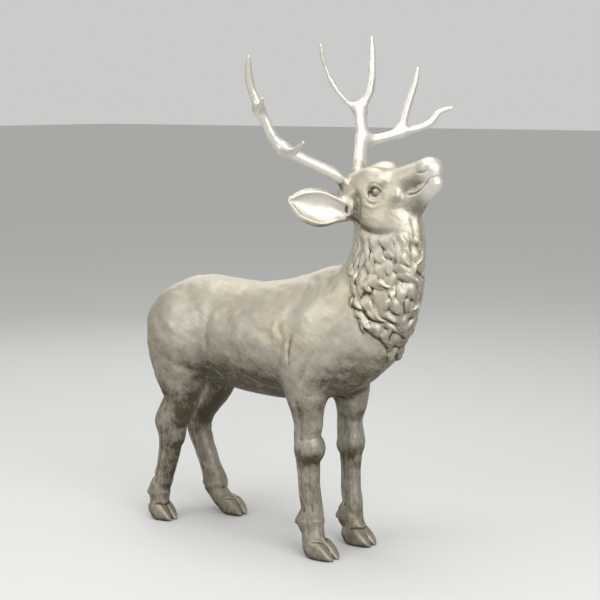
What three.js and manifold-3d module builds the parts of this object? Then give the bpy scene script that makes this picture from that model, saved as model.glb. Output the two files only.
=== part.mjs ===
// Life-size standing stag, one hollow bronze casting, drawn as its outer form.
// Millimetres, +Z up, +X towards the nose, +Y towards the stag's own left.
// Origin: centre of the bounding box in plan, on the ground under the hooves.
import * as THREE from 'three';
import Module from 'manifold-3d';

// ---------------------------------------------------------------- driving sizes
const ORIGIN = [235.2, -49, 0];     // moves the working frame onto the part's origin
const HEAD_ROLL = 8;                  // degrees, the right side of the head is lower
const SOLE_CUT = 60;                  // depth of the block that flattens the soles
const EYE_R = 14, EYE_X = 169, EYE_Z = 1221, EYE_Y = 57;
const LOCK_ROWS = 4;                  // rows of carved locks in the neck ruff
const SEG = { body: 24, neck: 20, head: 14, leg: 10, hoof: 8, antler: 6, ear: 10, small: 6 };

// Stations: x, y, z of the centre, half width, front or top depth, back or bottom depth
const TRUNK = [
  [-813, 0, 736, 22, 24, 24], [-799, 0, 733, 64, 62, 76], [-748, 0, 727, 112, 113, 142],
  [-675, 0, 718, 140, 158, 172], [-560, 0, 706, 144, 186, 188], [-450, 0, 694, 142, 191, 192],
  [-340, 0, 690, 152, 192, 198], [-220, 0, 694, 158, 205, 200], [-100, 0, 702, 150, 226, 194],
  [0, 0, 716, 138, 232, 176], [76, 0, 735, 119, 212, 151], [132, 0, 752, 90, 176, 113], [170, 0, 770, 62, 126, 82],
  [197, 0, 782, 24, 58, 42]];
const NECK = [
  [24, 0, 790, 104, 141, 184], [70, 0, 855, 110, 116, 196], [110, 0, 920, 105, 108, 190],
  [144, 0, 980, 96, 105, 165], [165, 0, 1035, 90, 114, 140], [172, 0, 1090, 87, 116, 126],
  [168, 0, 1140, 84, 115, 110], [155, 0, 1190, 66, 92, 84]];
const HEAD = [
  [-0.3, 0, 1187.1, 33, 37, 43.6], [34, 0, 1194, 50, 56, 66], [54, 0, 1198, 65, 70, 86],
  [84, 0, 1203, 74, 74, 108], [130, 0, 1210, 74, 67, 112], [180, 0, 1226, 63, 56, 98], [225, 0, 1243, 51, 46, 72],
  [265, 0, 1261, 43, 40, 50], [300, 0, 1274, 38, 38, 38], [330, 0, 1282, 35, 37, 27],
  [346.2, 0, 1286.3, 25.9, 27.4, 20], [353.5, 0, 1288.3, 12.6, 13.3, 9.7]];
const JAW = [
  [180, 0, 1140, 64, 60, 62], [225, 0, 1170, 57, 50, 72], [260, 0, 1191, 48, 38, 58], [292, 0, 1209, 39, 31, 42],
  [320, 0, 1225, 33, 29, 32], [344, 0, 1237, 27, 24, 25], [357.3, 0, 1243.7, 20, 17.8, 18.5],
  [363.3, 0, 1246.7, 9.7, 8.6, 9]];
const EAR = [
  [72, -58, 1148, 20, 34, 34], [42, -95, 1152, 29, 45, 43], [10, -130, 1156, 33, 61, 59],
  [-18, -168, 1165, 30, 60, 55], [-38, -196, 1176, 22, 44, 42], [-53, -219, 1185, 8, 14, 14]];
// Nose pad and lower lip: centre; half length, half width, half depth
const NOSE = { at: [334, 0, 1282], radii: [42, 36, 42] };
const LIP = { at: [357, 0, 1243], radii: [20, 26, 17] };
const TAIL = [
  [-790, 0, 772, 26, 20, 20], [-813, 0, 757, 28, 20, 20], [-829, 0, 725, 28, 16, 16], [-836, 0, 690, 22, 13, 13],
  [-835, 0, 660, 9, 7, 7]];

// Legs run from the shoulder or haunch down to the coronet; y is the lateral plane
const LEGS = {
  right_fore: [
    [-15, -76, 785, 40, 70, 62], [-45, -88, 710, 56, 100, 94], [-72, -96, 630, 60, 93, 91],
    [-80, -98, 565, 60, 78, 80], [-70, -98, 437, 43, 49, 49], [-74, -98, 396, 41, 46, 46],
    [-66, -98, 356, 46, 52, 52], [-71, -98, 315, 37, 41, 41], [-67, -98, 233, 33, 37, 37],
    [-55, -98, 153, 33, 38, 38], [-58, -100, 113, 41, 47, 48], [-46, -105, 78, 34, 38, 38],
    [-38, -112, 50, 36, 41, 39], [-24, -116, 26, 36, 41, 31]],
  left_fore: [
    [15, 76, 785, 40, 70, 62], [-5, 86, 710, 56, 98, 90], [-28, 90, 630, 60, 88, 86], [-32, 90, 560, 60, 72, 72],
    [-30, 90, 470, 47, 53, 53], [-35, 90, 428, 40, 44, 44], [-31, 90, 344, 40, 45, 45], [-30, 90, 261, 31, 34, 34],
    [-28, 90, 177, 31, 35, 35], [-22, 90, 136, 32, 36, 36], [-30, 89, 94, 41, 46, 46], [-14, 86, 62, 34, 39, 38],
    [-2, 84, 40, 35, 40, 35], [5, 83, 22, 34, 39, 29]],
  right_hind: [
    [-655, -70, 780, 46, 78, 78], [-662, -82, 730, 58, 126, 116], [-664, -90, 650, 70, 132, 112],
    [-652, -90, 570, 70, 112, 98], [-640, -88, 510, 67, 90, 86], [-644, -88, 442, 54, 66, 58],
    [-656, -88, 416, 50, 61, 48], [-684, -88, 371, 50, 62, 54], [-687, -88, 305, 42, 50, 49],
    [-697, -88, 260, 35, 41, 41], [-729, -88, 143, 31, 34, 34], [-748, -90, 95, 36, 41, 41],
    [-742, -96, 48, 32, 37, 34], [-734, -98, 26, 32, 37, 28]],
  left_hind: [
    [-650, 70, 780, 46, 78, 78], [-650, 82, 730, 58, 126, 116], [-640, 96, 650, 66, 118, 112],
    [-620, 104, 580, 62, 98, 100], [-614, 108, 520, 60, 64, 92], [-640, 108, 462, 55, 58, 66],
    [-702, 108, 374, 47, 45, 48], [-729, 108, 324, 40, 50, 46], [-725, 108, 282, 37, 48, 45],
    [-703, 108, 230, 34, 39, 39], [-670, 109, 150, 34, 40, 40], [-646, 108, 91, 40, 46, 46],
    [-634, 105, 68, 33, 37, 36], [-594, 102, 28, 31, 36, 27]],
};
// Hooves: centre x, y, half length, half width
const HOOVES = [[-4, -117, 51, 43], [10, 83, 50, 42], [-724, -99, 43, 37], [-562, 102, 44, 37]];
const CLAW = [   // along the claw: x, offset from the cleft, z, half width, top, bottom
  [-50, 24, 19, 14, 26, 26], [-36, 25, 26, 24, 36, 30], [-10, 26, 28, 28, 36, 34], [20, 26, 20, 27, 27, 26],
  [44, 24, 11, 22, 18, 16], [60, 20, 5, 15, 10, 10], [68, 17, 1, 6, 4, 5]];
const DEWCLAWS = [
  [-96, -84, 118, 14], [-96, -114, 118, 14], [-66, 76, 98, 13], [-66, 104, 98, 13], [-782, -74, 99, 11],
  [-782, -102, 99, 11], [-686, 96, 108, 11], [-686, 124, 108, 11]];

// Point of the hock, and the cord above and below it: offset x, z, half width, depth
const HOCKS = [[-742, -88, 352], [-764, 108, 338]];
const HOCK_CORD = [[52, 110, 19, 20], [26, 62, 18, 19], [6, 22, 19, 20], [2, 0, 20, 21], [14, -34, 18, 20], [22, -70, 14, 16]];

// Antlers: x, y, z, radius along each beam and tine
const ANTLERS = {
  right_beam: [
    [60, -42, 1203, 23.7], [45, -56, 1236, 21.5], [20, -100, 1269, 18.9], [-26, -150, 1301, 18.2],
    [-56, -186, 1324, 18.9], [-82, -220, 1348, 19.3], [-103, -241, 1381, 17.1], [-119, -262, 1432, 15.3],
    [-130, -278, 1475, 16.4], [-140, -292, 1513, 14.2], [-144, -304, 1546, 13.4], [-139, -318, 1583, 11.6],
    [-129, -330, 1611, 9.4], [-123, -338, 1631, 5]],
  right_brow: [
    [-84, -218, 1345, 15.8], [-13, -262, 1337, 12.9], [43, -300, 1353, 9.2], [76, -322, 1370, 5]],
  right_stub: [
    [-134, -276, 1467, 13.4], [-93, -315, 1481, 9.7], [-63, -345, 1502, 5]],
  left_beam: [
    [30, 30, 1210, 24.8], [12, 68, 1258, 24.3], [-13, 110, 1291, 23], [-46, 162, 1327, 22.6],
    [-73, 213, 1364, 24.3], [-90, 232, 1397, 21.8], [-108, 251, 1431, 21.3], [-127, 276, 1472, 20.4],
    [-116, 285, 1494, 16], [-104, 296, 1527, 14.7], [-104, 309, 1580, 14], [-114, 326, 1650, 12],
    [-126, 341, 1711, 6.7]],
  left_back: [
    [-122, 276, 1458, 14.6], [-150, 267, 1474, 10.5], [-176, 256, 1495, 8.3], [-203, 245, 1529, 8.1],
    [-224, 235, 1566, 8.1], [-237, 225, 1604, 7.4], [-242, 215, 1637, 6.7], [-244, 204, 1683, 5]],
  left_bez: [
    [-76, 211, 1355, 20.4], [-50, 236, 1363, 18.2], [-29, 262, 1370, 17.1], [-8, 291, 1379, 16.4],
    [13, 320, 1389, 15.1], [38, 346, 1397, 12.9], [61, 371, 1406, 12.3], [81, 391, 1419, 12],
    [92, 402, 1436, 11.6], [101, 411, 1453, 10.3], [112, 420, 1461, 9.2], [124, 430, 1467, 8],
    [139, 442, 1471, 6.1]],
  left_trez: [
    [8, 318, 1386, 14.5], [10, 329, 1420, 15.1], [18, 340, 1465, 14], [28, 352, 1513, 12.7], [38, 362, 1555, 10.3],
    [43, 372, 1603, 6.1]],
};

// ---------------------------------------------------------------- helpers
const wasm = await Module();
wasm.setup();
const V = (x, y, z) => new THREE.Vector3(x, y, z);
const rad = THREE.MathUtils.degToRad;

function smoothRows(rows, m) {
  const out = [];
  const at = (i) => rows[Math.min(Math.max(i, 0), rows.length - 1)];
  for (let i = 0; i < rows.length - 1; i++) {
    const a = i ? at(i - 1) : rows[0].map((v, k) => 2 * v - rows[1][k]);
    const b = at(i), c = at(i + 1);
    const d = i + 2 < rows.length ? at(i + 2) : c.map((v, k) => 2 * v - b[k]);
    for (let j = 0; j < m; j++) {
      const t = j / m;
      out.push(b.map((v, k) => 0.5 * (2 * v + (c[k] - a[k]) * t + (2 * a[k] - 5 * v + 4 * c[k] - d[k]) * t * t
        + (3 * v - a[k] - 3 * c[k] + d[k]) * t * t * t)));
    }
  }
  out.push(rows[rows.length - 1].slice());
  return out;
}

// Closed loft through oval sections; `side` is the lateral direction, n the section's squareness
function loft(rows, seg, { m = 1, side = [0, 1, 0], n = 2 } = {}) {
  const S = smoothRows(rows, m);
  const L0 = V(...side).normalize(), pts = [], tri = [];
  for (let i = 0; i < S.length; i++) {
    const p = S[Math.max(i - 1, 0)], q = S[Math.min(i + 1, S.length - 1)];
    const T = V(q[0] - p[0], q[1] - p[1], q[2] - p[2]).normalize();
    const L = L0.clone().addScaledVector(T, -L0.dot(T)).normalize();
    const U = new THREE.Vector3().crossVectors(T, L);
    const [x, y, z, a, f, b] = S[i].length > 4 ? S[i] : [...S[i], S[i][3], S[i][3]];
    for (let k = 0; k < seg; k++) {
      const w = (k / seg) * 2 * Math.PI, c = Math.cos(w), s = Math.sin(w);
      const e = 2 / n;
      const l = a * Math.sign(c) * Math.abs(c) ** e;
      const u = (s > 0 ? f : b) * Math.sign(s) * Math.abs(s) ** e;
      pts.push([x + L.x * l + U.x * u, y + L.y * l + U.y * u, z + L.z * l + U.z * u]);
    }
  }
  const R = S.length;
  for (let i = 0; i < R - 1; i++) {
    for (let k = 0; k < seg; k++) {
      const a = i * seg + k, b = i * seg + ((k + 1) % seg), c = a + seg, d = b + seg;
      tri.push([a, b, c], [b, d, c]);
    }
  }
  const c0 = pts.length; pts.push(S[0].slice(0, 3));
  const c1 = pts.length; pts.push(S[R - 1].slice(0, 3));
  for (let k = 0; k < seg; k++) {
    const k2 = (k + 1) % seg;
    tri.push([c0, k2, k], [c1, (R - 1) * seg + k, (R - 1) * seg + k2]);
  }
  return solid(pts, tri);
}

function solid(pts, tri) {
  let vol = 0;
  for (const [a, b, c] of tri) {
    const A = pts[a], B = pts[b], C = pts[c];
    vol += A[0] * (B[1] * C[2] - B[2] * C[1]) + A[1] * (B[2] * C[0] - B[0] * C[2]) + A[2] * (B[0] * C[1] - B[1] * C[0]);
  }
  const T = vol < 0 ? tri.map(([a, b, c]) => [a, c, b]) : tri;
  const mesh = new wasm.Mesh({ numProp: 3, vertProperties: new Float32Array(pts.flat()), triVerts: new Uint32Array(T.flat()) });
  mesh.merge();
  return new wasm.Manifold(mesh);
}

// Oval pebble with its long axis along `dir`, flattened across `side`
function pebble(c, dir, side, len, wide, thick, seg = SEG.small, rings = 5) {
  const D = V(...dir).normalize(), rows = [];
  for (let i = 0; i <= rings; i++) {
    const t = -Math.cos((i / rings) * Math.PI), r = Math.sqrt(Math.max(0, 1 - t * t)) + 0.04;
    rows.push([c[0] + D.x * len * t, c[1] + D.y * len * t, c[2] + D.z * len * t, wide * r, thick * r, thick * r]);
  }
  return loft(rows, seg, { side });
}

const rollA = rad(HEAD_ROLL);
const ROLL_C = [150, 0, 1210];
function rolled(rows) {
  return rows.map((r) => {
    const y = r[1] - ROLL_C[1], z = r[2] - ROLL_C[2];
    return [r[0], ROLL_C[1] + y * Math.cos(rollA) - z * Math.sin(rollA), ROLL_C[2] + y * Math.sin(rollA) + z * Math.cos(rollA), ...r.slice(3)];
  });
}
const HEAD_SIDE = [0, Math.cos(rollA), Math.sin(rollA)];

// ---------------------------------------------------------------- build
let body = loft(TRUNK, SEG.body);
const join = (s) => { body = body.add(s); };

join(loft(NECK, SEG.neck));
join(loft(TAIL, SEG.small));
for (const rows of Object.values(LEGS)) join(loft(rows, SEG.leg, { n: 2.2 }));

for (const [hx, hy, ln, w] of HOOVES) {
  for (const s of [-1, 1]) {
    const rows = CLAW.map(([x, o, z, a, t, b]) => [hx + (x * ln) / 61, hy + (s * o * w) / 53, z, (a * w) / 53, t, b]);
    join(loft(rows, SEG.hoof, { n: 3 }));
  }
}
for (const [x, y, z] of HOCKS) join(loft(HOCK_CORD.map(([dx, dz, a, d]) => [x + dx, y, z + dz, a, d, d]), SEG.small));
for (const [x, y, z, r] of DEWCLAWS) join(pebble([x - 5, y, z - 8], [-0.5, 0, -0.8], [0, 1, 0], r * 1.3, r * 0.75, r * 0.75));

join(loft(rolled(HEAD), SEG.head, { side: HEAD_SIDE, n: 2.2 }));
join(loft(rolled(JAW), SEG.head - 4, { side: HEAD_SIDE, n: 2.2 }));
const [nose] = rolled([NOSE.at]), [under] = rolled([LIP.at]);
join(pebble(nose, [1, 0, 0.05], HEAD_SIDE, ...NOSE.radii, 10, 6));
join(pebble(under, [1, 0, 0.2], HEAD_SIDE, ...LIP.radii, 8, 5));
for (const s of [-1, 1]) {
  const [brow] = rolled([[136, s * 37, s > 0 ? 1268 : 1262]]);
  join(pebble(brow, [1, 0, 0.1], HEAD_SIDE, 50, 28, 30, 10, 6));
  const [eye] = rolled([[EYE_X, s * EYE_Y, EYE_Z]]);
  join(pebble(eye, [1, 0, 0.2], [0, 1, 0], EYE_R * 1.15, EYE_R, EYE_R * 0.85));
  const [cheek] = rolled([[196, s * 44, 1196]]);
  join(pebble(cheek, [1, 0, 0.4], HEAD_SIDE, 56, 19, 32, 8, 6));
}

// Ears: the right one cupped to the front, the left one the same, turned back
const earTo = (rows, s) => rows.map((r) => [r[0], s * r[1] * -1, r[2], ...r.slice(3)]);
for (const s of [-1, 1]) {
  const dz = s > 0 ? 18 : 0;
  const rows = earTo(EAR, s).map((r) => [r[0], r[1], r[2] + dz, ...r.slice(3)]);
  const side = [0.85, s * 0.5, 0.1];
  let ear = loft(rows, SEG.ear, { m: 1, side });
  const bowl = rows.slice(1, 6).map((r, i) => [r[0] + 34, r[1] + s * 20, r[2], 33, r[4] * 0.84, r[5] * 0.84]);
  ear = ear.subtract(loft(bowl, SEG.ear, { m: 1, side }));
  join(ear);
}

for (const rows of Object.values(ANTLERS)) join(loft(rows, SEG.antler));
// Burr rings at the antler bases
for (const k of ['right_beam', 'left_beam']) {
  const [, b, c] = ANTLERS[k], d = [c[0] - b[0], c[1] - b[1], c[2] - b[2]];
  join(pebble([b[0], b[1], b[2]], d, [1, 0, 0], 11, b[3] + 7, b[3] + 7, 9, 4));
}

// Neck ruff: overlapping leaf-shaped locks, laid round the front and sides of the neck
for (let r = 0; r < LOCK_ROWS; r++) {
  const z = 1046 - r * 72, low = Math.max(0, 1035 - z);
  const cx = 166 - 0.5 * low, front = 130 + 0.44 * low - Math.max(0, 880 - z) * 0.45, wide = 92 + 0.15 * low;
  for (let k = -2; k <= 2; k++) {
    const w = rad(k * 36 + (r % 2 ? 18 : 0));
    if (Math.abs(w) > rad(75)) continue;
    const p = [cx + Math.cos(w) * (front - 4), Math.sin(w) * (wide - 4), z];
    join(pebble(p, [0.36, -0.12 * Math.sign(w || 1), -1], [-Math.sin(w), Math.cos(w), 0], 56, 33, 10));
  }
}

// Flat soles on the ground
const block = new THREE.BoxGeometry(2400, 1400, SOLE_CUT);
const bp = block.attributes.position, pts = [];
for (let i = 0; i < bp.count; i++) pts.push([bp.getX(i) - 200, bp.getY(i), bp.getZ(i) - SOLE_CUT / 2]);
const bt = [];
for (let i = 0; i < block.index.count; i += 3) bt.push([block.index.getX(i), block.index.getX(i + 1), block.index.getX(i + 2)]);
body = body.subtract(solid(pts, bt));

const out = body.getMesh();
const n = out.vertProperties.length / out.numProp, pos = new Float32Array(n * 3);
for (let i = 0; i < n; i++) {
  for (let k = 0; k < 3; k++) pos[i * 3 + k] = out.vertProperties[i * out.numProp + k] + ORIGIN[k];
}
const geo = new THREE.BufferGeometry();
geo.setAttribute('position', new THREE.BufferAttribute(pos, 3));
geo.setIndex(Array.from(out.triVerts));
geo.computeVertexNormals();

const bronze = new THREE.MeshStandardMaterial({ color: 0xb3a78c, roughness: 0.42, metalness: 1.0 });
bronze.name = 'silvered_bronze';
const deer = new THREE.Mesh(geo, bronze);
deer.name = 'deer';

const group = new THREE.Group();
group.name = 'bronze_stag';
group.add(deer);
export default group;
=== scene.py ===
import bpy, math
import numpy as np
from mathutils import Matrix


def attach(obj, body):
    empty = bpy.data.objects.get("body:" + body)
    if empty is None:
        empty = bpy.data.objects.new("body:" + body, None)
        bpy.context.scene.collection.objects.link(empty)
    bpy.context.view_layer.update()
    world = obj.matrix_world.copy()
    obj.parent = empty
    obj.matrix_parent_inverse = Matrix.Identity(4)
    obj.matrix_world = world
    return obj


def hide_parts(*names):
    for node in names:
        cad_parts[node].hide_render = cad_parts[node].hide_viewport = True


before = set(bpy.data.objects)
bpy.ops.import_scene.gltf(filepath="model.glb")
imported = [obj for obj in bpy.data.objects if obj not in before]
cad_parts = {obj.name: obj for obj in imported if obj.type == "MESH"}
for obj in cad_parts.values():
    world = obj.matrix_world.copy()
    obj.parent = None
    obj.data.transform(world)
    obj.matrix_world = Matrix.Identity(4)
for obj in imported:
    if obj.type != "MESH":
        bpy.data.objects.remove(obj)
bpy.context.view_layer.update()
F=np.float32
# ============ sizes, millimetres; +X nose, +Y the stag's left, +Z up ============
TRUNK=[(-813,0,736,22,24,24),(-799,0,733,64,62,76),(-748,0,727,112,113,142),(-675,0,718,140,158,172),(-560,0,706,144,186,188),
(-450,0,694,142,191,192),(-340,0,690,152,192,198),(-220,0,694,158,205,200),(-100,0,702,150,226,194),(0,0,716,138,232,176),
(76,0,735,119,212,151),(132,0,752,90,176,113),(170,0,770,62,126,82),(197,0,782,24,58,42)]
NECK=[(24,0,790,104,141,184),(70,0,855,110,116,196),(110,0,920,105,108,190),(144,0,980,96,105,165),(165,0,1035,90,114,140),(172,0,1090,87,116,126),(168,0,1140,84,115,110),(155,0,1190,66,92,84)]
HEAD=[(34,0,1194,50,56,66),(54,0,1198,65,70,86),(84,0,1203,74,74,108),(130,0,1210,74,67,112),(180,0,1226,63,56,98),(225,0,1243,51,46,72),(265,0,1261,43,40,50),(300,0,1274,38,38,38),(330,0,1282,35,37,27)]
JAW=[(180,0,1140,64,60,62),(225,0,1170,57,50,72),(260,0,1191,48,38,58),(292,0,1209,39,31,42),(320,0,1225,33,29,32),(344,0,1237,27,24,25)]
EARN=[(72,-58,1148,20,34,34),(42,-95,1152,29,45,43),(10,-130,1156,33,61,59),(-18,-168,1165,30,60,55),(-38,-196,1176,22,44,42),(-53,-219,1185,8,14,14)]
TAIL=[(-790,0,772,26,20,20),(-813,0,757,28,20,20),(-829,0,725,28,16,16),(-836,0,690,22,13,13),(-835,0,660,9,7,7)]
RF=[(-15,-76,785,40,70,62),(-45,-88,710,56,100,94),(-72,-96,630,60,93,91),(-80,-98,565,60,78,80),(-77,-98,516,57,67,67),(-73,-98,476,49,55,56),(-70,-98,437,43,49,49),(-74,-98,396,41,46,46),(-66,-98,356,46,52,52),(-71,-98,315,37,41,41),(-69,-98,274,34,38,38),(-67,-98,233,33,37,37),(-62,-98,193,33,37,37),(-55,-98,153,33,38,38),(-58,-100,113,41,47,48),(-46,-105,78,34,38,38),(-38,-112,50,36,41,39),(-24,-116,26,36,41,31)]
LF=[(15,76,785,40,70,62),(-5,86,710,56,98,90),(-28,90,630,60,88,86),(-32,90,560,60,72,72),(-30,90,511,53,61,61),(-30,90,470,47,53,53),(-35,90,428,40,44,44),(-33,90,386,40,46,46),(-31,90,344,40,45,45),(-29,90,303,34,38,38),(-30,90,261,31,34,34),(-29,90,219,31,34,34),(-28,90,177,31,35,35),(-22,90,136,32,36,36),(-30,89,94,41,46,46),(-14,86,62,34,39,38),(-2,84,40,35,40,35),(5,83,22,34,39,29)]
RH=[(-655,-70,780,46,78,78),(-662,-82,730,58,126,116),(-664,-90,650,70,132,112),(-652,-90,570,70,112,98),(-640,-88,510,67,90,86),(-640,-88,470,60,74,70),(-644,-88,442,54,66,58),(-656,-88,416,50,61,48),(-672,-88,394,50,62,48),(-684,-88,371,50,62,54),(-686,-88,349,48,58,53),(-685,-88,327,45,54,52),(-687,-88,305,42,50,49),(-694,-88,282,37,44,43),(-697,-88,260,35,41,41),(-703,-88,236,34,39,39),(-709,-88,213,33,37,37),(-715,-88,190,32,35,35),(-724,-88,167,32,35,35),(-729,-88,143,31,34,34),(-743,-88,118,34,38,38),(-748,-90,95,36,41,41),(-746,-93,72,32,36,36),(-742,-96,48,32,37,34),(-734,-98,26,32,37,28)]
LH=[(-650,70,780,46,78,78),(-650,82,730,58,126,116),(-640,96,650,66,118,112),(-620,104,580,62,98,100),(-614,108,520,60,64,92),(-640,108,462,55,58,66),(-676,108,410,50,50,56),(-702,108,374,47,45,48),(-720,108,347,43,48,47),(-729,108,324,40,50,46),(-729,108,304,39,50,47),(-725,108,282,37,48,45),(-714,108,258,36,43,43),(-703,108,230,34,39,39),(-693,109,206,34,40,40),(-681,109,177,33,39,39),(-670,109,150,34,40,40),(-657,110,118,38,44,44),(-646,108,91,40,46,46),(-634,105,68,33,37,36),(-612,103,46,33,38,34),(-594,102,28,31,36,27)]
HOOF=[(-4,-117,51,43),(10,83,50,42),(-724,-99,43,37),(-562,102,44,37)]
CLAW=[(-50,24,19,14,26,26),(-36,25,26,24,36,30),(-10,26,28,28,36,34),(20,26,20,27,27,26),(44,24,11,22,18,16),(60,20,5,15,10,10),(68,17,1,6,4,5)]
DEW=[(-96,-84,118,14),(-96,-114,118,14),(-66,76,98,13),(-66,104,98,13),(-782,-74,99,11),(-782,-102,99,11),(-686,96,108,11),(-686,124,108,11)]
ANT={
'rb':[(60,-42,1203,21),(45,-56,1236,19),(20,-100,1269,16.6),(-26,-150,1301,16),(-56,-186,1324,16.6),(-82,-220,1348,17),(-103,-241,1381,15),(-119,-262,1432,13.4),(-130,-278,1475,14.4),(-140,-292,1513,12.4),(-144,-304,1546,11.6),(-139,-318,1583,10),(-129,-330,1611,8),(-123,-338,1631,4)],
'r1':[(-84,-218,1345,13.8),(-13,-262,1337,11.2),(43,-300,1353,7.8),(76,-322,1370,4)],
'r2':[(-134,-276,1467,11.6),(-93,-315,1481,8.3),(-63,-345,1502,4)],
'lb':[(30,30,1210,22),(12,68,1258,21.5),(-13,110,1291,20.4),(-46,162,1327,20),(-73,213,1364,21.5),(-90,232,1397,19.3),(-108,251,1431,18.8),(-127,276,1472,18),(-116,285,1494,14),(-104,296,1527,12.8),(-104,309,1580,12.2),(-114,326,1650,10.4),(-126,341,1711,5.5)],
'l1':[(-122,276,1458,12.7),(-150,267,1474,9),(-176,256,1495,7),(-203,245,1529,6.8),(-224,235,1566,6.8),(-237,225,1604,6.2),(-242,215,1637,5.5),(-244,204,1683,4)],
'l2':[(-76,211,1355,18),(-50,236,1363,16),(-29,262,1370,15),(-8,291,1379,14.4),(13,320,1389,13.2),(38,346,1397,11.2),(61,371,1406,10.6),(81,391,1419,10.4),(92,402,1436,10),(101,411,1453,8.8),(112,420,1461,7.8),(124,430,1467,6.7),(139,442,1471,5)],
'l3':[(8,318,1386,12.6),(10,329,1420,13.2),(18,340,1465,12.2),(28,352,1513,11),(38,362,1555,8.8),(43,372,1603,5)]}
ROLL=8.0; ROLL_C=(150.,0.,1210.)
# ============ distance-field kit ============
def axis(knots):
    """grid lines from (start, spacing) knots; the last knot is the end"""
    out=[]
    for (a,h),(b,_) in zip(knots,knots[1:]):
        n=max(1,int(round((b-a)/h))); out+=[a+(b-a)*i/n for i in range(n)]
    return np.array(out+[knots[-1][0]])
class Grid:
    def __init__(s,lo,hi,h,axes=None):
        s.ax=axes or [lo[i]+h*np.arange(int(np.ceil((hi[i]-lo[i])/h))+1) for i in range(3)]
        s.h=float(h); s.n=[len(a) for a in s.ax]
        s.v=np.full(s.n,1e3,F)
    def box(s,lo,hi):
        i0=[max(0,int(np.searchsorted(s.ax[i],lo[i]))-1) for i in range(3)]
        i1=[min(s.n[i],int(np.searchsorted(s.ax[i],hi[i]))+1) for i in range(3)]
        return tuple(slice(a,max(a,b)) for a,b in zip(i0,i1)),[s.ax[i][i0[i]:max(i0[i],i1[i])].astype(F) for i in range(3)]
    def add(s,p,k=0.):
        fn,lo,hi=p; m=k*1.1+2.5*s.h
        sl,(X,Y,Z)=s.box(lo-m,hi+m)
        if 0 in s.v[sl].shape: return
        s.v[sl]=smin(s.v[sl],fn(X[:,None,None],Y[None,:,None],Z[None,None,:]),k)
    def cut(s,p,k=2.,depth=None):
        """takes p away, no deeper than depth below the present surface"""
        fn,lo,hi=p; m=k*1.1+2.5*s.h
        sl,(X,Y,Z)=s.box(lo-m,hi+m)
        v=s.v[sl]
        if 0 in v.shape: return
        f=fn(X[:,None,None],Y[None,:,None],Z[None,None,:])
        if depth is not None: f=np.maximum(f,-(v+F(depth)))
        s.v[sl]=-smin(-v,f,k)
    def blur(s,lo,hi,times):
        sl,_=s.box(lo,hi); a=s.v[sl].copy()
        for _ in range(times):
            for ax in range(3):
                c=[slice(None)]*3; l=list(c); r=list(c)
                c[ax]=slice(1,-1); l[ax]=slice(0,-2); r[ax]=slice(2,None)
                b=a.copy(); b[tuple(c)]=a[tuple(c)]*F(.5)+(a[tuple(l)]+a[tuple(r)])*F(.25); a=b
        # fade to the old values near the box's faces
        w=np.ones(a.shape,F)
        for ax in range(3):
            n=a.shape[ax]; e=np.clip(np.minimum(np.arange(n),n-1-np.arange(n))/8.,0,1).astype(F)
            sh=[1,1,1]; sh[ax]=n; w=w*e.reshape(sh)
        s.v[sl]+= (a-s.v[sl])*w
def smin(a,b,k):
    if k<=0: return np.minimum(a,b)
    h=np.maximum(F(k)-np.abs(a-b),0)/F(k)
    return np.minimum(a,b)-h*h*F(k*0.25)
def frame_of(d,side):
    d=np.array(d,float); d/=np.linalg.norm(d); s=np.array(side,float); s-=d*(s@d); s/=np.linalg.norm(s)
    return np.stack([d,s,np.cross(d,s)],1)
def ell(c,r,R=None):
    c=np.array(c,float); r=np.array(r,float); R=np.eye(3) if R is None else np.array(R)
    e=np.sqrt(((R*r)**2).sum(1))
    def fn(X,Y,Z):
        q=[X-F(c[0]),Y-F(c[1]),Z-F(c[2])]
        l=[sum(F(R[j,i])*q[j] for j in range(3)) for i in range(3)]
        k0=np.sqrt(sum((l[i]/F(r[i]))**2 for i in range(3)))
        k1=np.sqrt(sum((l[i]/F(r[i]*r[i]))**2 for i in range(3)))+F(1e-6)
        return k0*(k0-1)/k1
    return fn,c-e,c+e
def catmull(P,m):
    P=np.array(P,float); n=len(P); out=[]
    for i in range(n-1):
        p0=P[i-1] if i>0 else 2*P[0]-P[1]; p1=P[i]; p2=P[i+1]; p3=P[i+2] if i+2<n else 2*P[-1]-P[-2]
        for j in range(m):
            t=j/m
            out.append(0.5*((2*p1)+(-p0+p2)*t+(2*p0-5*p1+4*p2-p3)*t*t+(-p0+3*p1-3*p2+p3)*t**3))
    out.append(P[-1]); return np.array(out)
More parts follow.
